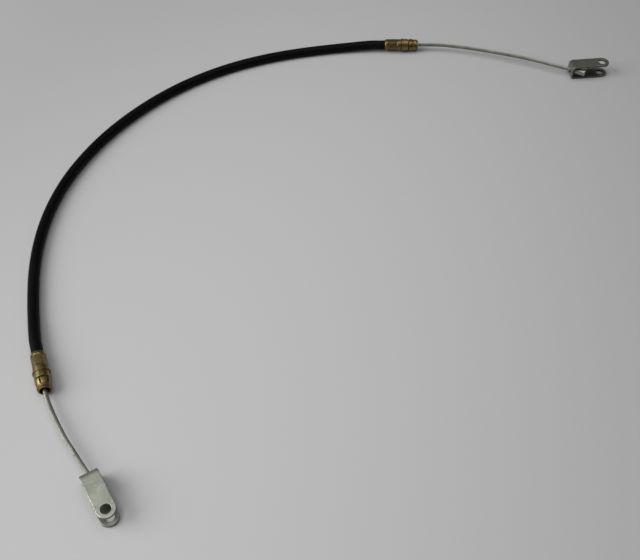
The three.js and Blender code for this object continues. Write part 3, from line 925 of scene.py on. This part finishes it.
class MakeStops(bpy.types.Operator):
    """Makes the swaged stop on each rope end"""
    bl_idname = "brake_cable.make_stops"
    bl_label = "Swaged stops"

    def execute(self, context):
        metal = plated_grey("swaged stop plating", context.scene.cable_clevis, streak=0.25)
        outline = filled_in(rounded([
            (0, 1.68), (0, 2.7), (0.5, 3.2), (10.5, 3.2), (11, 2.7), (11, 1.9), (10.6, 1.68),
        ], [0.05, 0.25, 0.5, 0.5, 0.25, 0.1, 0.1]), 0.3)
        sides = 96

        def pressed(along, radius, angle):
            """Four shallow die faces between two plain ends, with a thin flash line
            left between each pair."""
            fade = np.clip((along - 1.6) / 0.8, 0, 1) * np.clip((9.4 - along) / 0.8, 0, 1)
            ridge = np.exp(-(np.sin(2 * angle) / 0.16)**2)
            wave = 0.5 + 0.5 * np.cos(2 * np.pi * (along - 1.6) / 1.95)
            depth = fade * (0.13 + 0.05 * wave) * (1 - ridge)
            return np.where(radius > 2.4, radius - depth, radius + 0 * angle)

        station, radius = outline[:, 0], outline[:, 1]
        # Painted shade in the rope's bore at both ends and a faint dark line where the die faces
        # begin
        painted_shade = np.clip((radius < 1.95) * 1.0 + 0.25 * np.exp(-((station - 1.6) / 0.3)**2), 0, 1)
        uv = ring_map(station, sides)
        marks = {"painted_shade": np.repeat(painted_shade, sides)}
        for end, at in ENDS.items():
            start = rope_hole(at) + heading(at["rope_yaw"]) * stop_start(at)
            points, faces = turned(outline, sides, start, at["rope_yaw"], pressed)
            stop = piece(f"{end}_stop", points, faces, uv, marks, sharp=50)
            dress(stop, metal, f"{end}_rope", "grey_zinc", f"{end}_rope_stop")
        return {"FINISHED"}


class MakeClevises(bpy.types.Operator):
    """Makes the two clevises, each pressed flat and bent from one strap"""
    bl_idname = "brake_cable.make_clevises"
    bl_label = "Clevises"

    def execute(self, context):
        settings = context.scene.cable_clevis
        for end, at in ENDS.items():
            # Each clevis gets its own painted light or shade on the same plating
            metal = plated_grey(f"{end} clevis plating", settings, at["painted_plating_light"])
            obj = self.strap(f"{end}_clevis_strap", at["base"], at["clevis_yaw"], settings)
            dress(obj, metal, f"{end}_yoke", "grey_zinc", f"{end}_clevis")
        return {"FINISHED"}

    @staticmethod
    def strap(name, base, yaw, settings):
        """The flat blank is laid out first, in distance along the strap, across it and
        through it: rings of points round each hole, widening to the blank's outline,
        and plain rows in between. The rims go over the edge in a quarter circle, down
        the wall and under. The blank is then bent: past the straight base, the distance
        along becomes an angle about the bend's centre, and past a right angle it is
        straight again. The inner side of each bend swells a little at its ends."""
        half_thick = settings.thickness / MM / 2
        half_wide = settings.width / MM / 2
        half_high = settings.height / MM / 2
        inside = settings.inside_bend / MM
        edge = settings.edge / MM
        outside = inside + 2 * half_thick
        middle_bend = inside + half_thick
        flat_base = half_high - outside
        bend_end = flat_base + middle_bend * np.pi / 2
        pin_at = bend_end + settings.pin_reach / MM - outside
        pin_rim = settings.pin_hole / MM / 2 + edge
        rope_rim = settings.rope_hole / MM / 2 + edge
        rim = half_wide - edge

        quarter = 16
        turn = 2 * np.pi * np.arange(4 * quarter) / (4 * quarter)
        spoke = np.stack([np.cos(turn), np.sin(turn)], -1)
        square = np.clip(spoke / np.abs(spoke).max(axis=1)[:, None], -1, 1)

        def rings(centre, inner, outer, count):
            share = np.linspace(0, 1, count)[:, None, None]
            grid = inner[None] * (1 - share) + outer[None] * share + np.array(centre)
            return grid.reshape(-1, 2), grid_faces(count, len(inner), False, True)

        tip_outer = np.where((spoke[:, :1] >= 0), spoke * rim, square * rim)
        base_outer = square * np.array([flat_base, rim])
        flats = [rings((0, 0), spoke * rope_rim, base_outer, 4)]
        columns = np.tan(np.linspace(-np.pi / 4, np.pi / 4, quarter + 1)) * rim
        rows = np.concatenate([np.linspace(flat_base, bend_end, 13),
                               np.linspace(bend_end, pin_at - rim, 12)[1:]])
        for sign in (1, -1):
            flip = np.array([sign, 1])
            points, faces = rings((pin_at, 0), spoke * pin_rim, tip_outer, 7)
            flats.append((points * flip, faces))
            strip = np.stack(np.meshgrid(rows, columns, indexing="ij"), -1).reshape(-1, 2)
            flats.append((strip * flip, grid_faces(len(rows), len(columns))))

        points, faces, count = [], [], 0
        for level in (half_thick, -half_thick):
            for flat, quads in flats:
                points.append(np.column_stack([flat, np.full(len(flat), level)]))
                faces.append(quads + count)
                count += len(flat)

        arc = np.linspace(0, np.pi / 2, 5)
        over = np.column_stack([edge * np.sin(arc), half_thick - edge + edge * np.cos(arc)])
        band = np.concatenate([over, over[::-1] * [1, -1]])

        def wall(loop, outward, closed):
            """The rim carried along one stretch of outline."""
            nonlocal count
            step = loop[:, None, :] + outward[:, None, :] * band[None, :, :1]
            level = np.broadcast_to(band[None, :, 1:], (*step.shape[:2], 1))
            points.append(np.concatenate([step, level], -1).reshape(-1, 3))
            faces.append(grid_faces(len(loop), len(band), closed, False, count))
            count += len(points[-1])

        wall(spoke * rope_rim, -spoke, True)
        tip = np.linspace(-np.pi / 2, np.pi / 2, 2 * quarter + 1)
        tip = np.stack([np.cos(tip), np.sin(tip)], -1)
        on_side = square[:, 1] >= 1 - 1e-9
        side_rows = np.concatenate([
            [0.0], base_outer[on_side & (square[:, 0] > 1e-9), 0], rows, [pin_at - rim, pin_at],
            pin_at + square[on_side & (square[:, 0] <= 1e-9), 0] * rim,
        ])
        side_rows = np.unique(np.round(side_rows, 7))
        for sign in (1, -1):
            flip = np.array([sign, 1])
            wall(spoke * pin_rim * flip + [sign * pin_at, 0], -spoke * flip, True)
            wall((tip * rim + [pin_at, 0]) * flip, tip * flip, False)
            for edge_side in (1, -1):
                outward = np.tile([0.0, edge_side], (len(side_rows), 1))
                wall((side_rows[:, None] * [1, 0] + outward * rim) * flip, outward, False)

        blank, same = np.unique(np.round(np.concatenate(points), 5), axis=0, return_inverse=True)
        same = same.ravel()
        faces = same[np.concatenate(faces)]

        s, w, t = blank.T
        sign = np.sign(s + 1e-12)
        reach = np.abs(s)
        angle = np.clip((reach - flat_base) / middle_bend, 0, np.pi / 2)
        swell = 1 - 0.022 * (t / half_thick) * np.sin(2 * angle)
        radius = middle_bend + t
        x = outside - radius * np.cos(angle) + np.maximum(reach - bend_end, 0)
        z = sign * (flat_base * np.minimum(reach / flat_base, 1) + radius * np.sin(angle))
        y = w * swell
        ahead, up = heading(yaw), np.array([0.0, 0.0, 1.0])
        side = np.cross(up, ahead)
        start = np.array([*base, CLEVIS_AXIS_HEIGHT])
        bent = start + x[:, None] * ahead + y[:, None] * side + z[:, None] * up
        bent = place(0, 0, 0) + bent * MM
        # Painted shade: the ears' inner faces are painted dark, less so towards the tips; the cut
        # edges and a band on the outside just past each bend are painted darker, where shade falls
        inner_side = np.clip(-t / half_thick, 0, 1)
        edge_painted_shade = np.clip(6 * (1 - np.abs(t) / half_thick), 0, 1)
        bend_painted_shade = np.clip(t / half_thick, 0, 1) * np.exp(-((reach - bend_end - 0.6) / 0.9)**2)
        inner_painted_shade = inner_side * (0.92 - 0.5 * np.clip((x - 27.0) / 5.0, 0, 1))
        painted_shade = np.maximum(np.maximum(inner_painted_shade, 0.75 * edge_painted_shade), 0.45 * bend_painted_shade)
        uv = np.stack([w * MM, s * MM], -1)
        return piece(name, bent, faces, uv, {"painted_shade": painted_shade}, sharp=50)


class DressInside(bpy.types.Operator):
    """Gives the armour, the liner and the hidden run of rope their materials"""
    bl_idname = "brake_cable.dress_inside"
    bl_label = "Inside the casing"

    def execute(self, context):
        f = Finish("hidden rope steel", roughness=0.4, metallic=0.9)
        tint = tuple(context.scene.cable_rope.wire)
        f.colour(f.mixed(f.noise(300.0, 4.0), tint, tuple(0.5 * c for c in tint)))
        f.rough(f.spread(f.noise(200.0), 0.3, 0.7, 0.32, 0.5))
        f.bump(f.noise(900.0, 3.0), 0.0001, 0.5)
        materials = {"casing_armour": wound_armour(), "casing_liner": liner_plastic(),
                     "rope_in_casing": f.material}
        for node, material in materials.items():
            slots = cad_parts[node].data.materials
            if len(slots):
                slots[0] = material
            else:
                slots.append(material)
        return {"FINISHED"}


class CablePanel(bpy.types.Panel):
    """Lists the cable's settings and pieces"""
    bl_idname = "VIEW3D_PT_brake_cable"
    bl_label = "Brake cable"
    bl_space_type = "VIEW_3D"
    bl_region_type = "UI"
    bl_category = "Brake cable"

    def draw(self, context):
        for name in SETTINGS:
            box = self.layout.box()
            group = getattr(context.scene, name)
            for key in type(group).__annotations__:
                box.prop(group, key)
        column = self.layout.column()
        for operator in STEPS:
            column.operator(operator.bl_idname)


SETTINGS = {
    "cable_stage": StageSettings,
    "cable_casing": CasingSettings,
    "cable_rope": RopeSettings,
    "cable_fitting": FittingSettings,
    "cable_clevis": ClevisSettings,
}
STEPS = (MakeStage, MakeCasing, MakeRopes, MakeFittings, MakeProngs, MakeStops, MakeClevises,
         DressInside)


def register():
    for kind in (*SETTINGS.values(), *STEPS, CablePanel):
        bpy.utils.register_class(kind)
    for name, kind in SETTINGS.items():
        setattr(bpy.types.Scene, name, bpy.props.PointerProperty(type=kind))


def unregister():
    for name in SETTINGS:
        delattr(bpy.types.Scene, name)
    for kind in (CablePanel, *reversed(STEPS), *reversed(SETTINGS.values())):
        bpy.utils.unregister_class(kind)


def main():
    register()
    for step in STEPS:
        group, action = step.bl_idname.split(".")
        getattr(getattr(bpy.ops, group), action)()


if __name__ == "__main__":
    main()
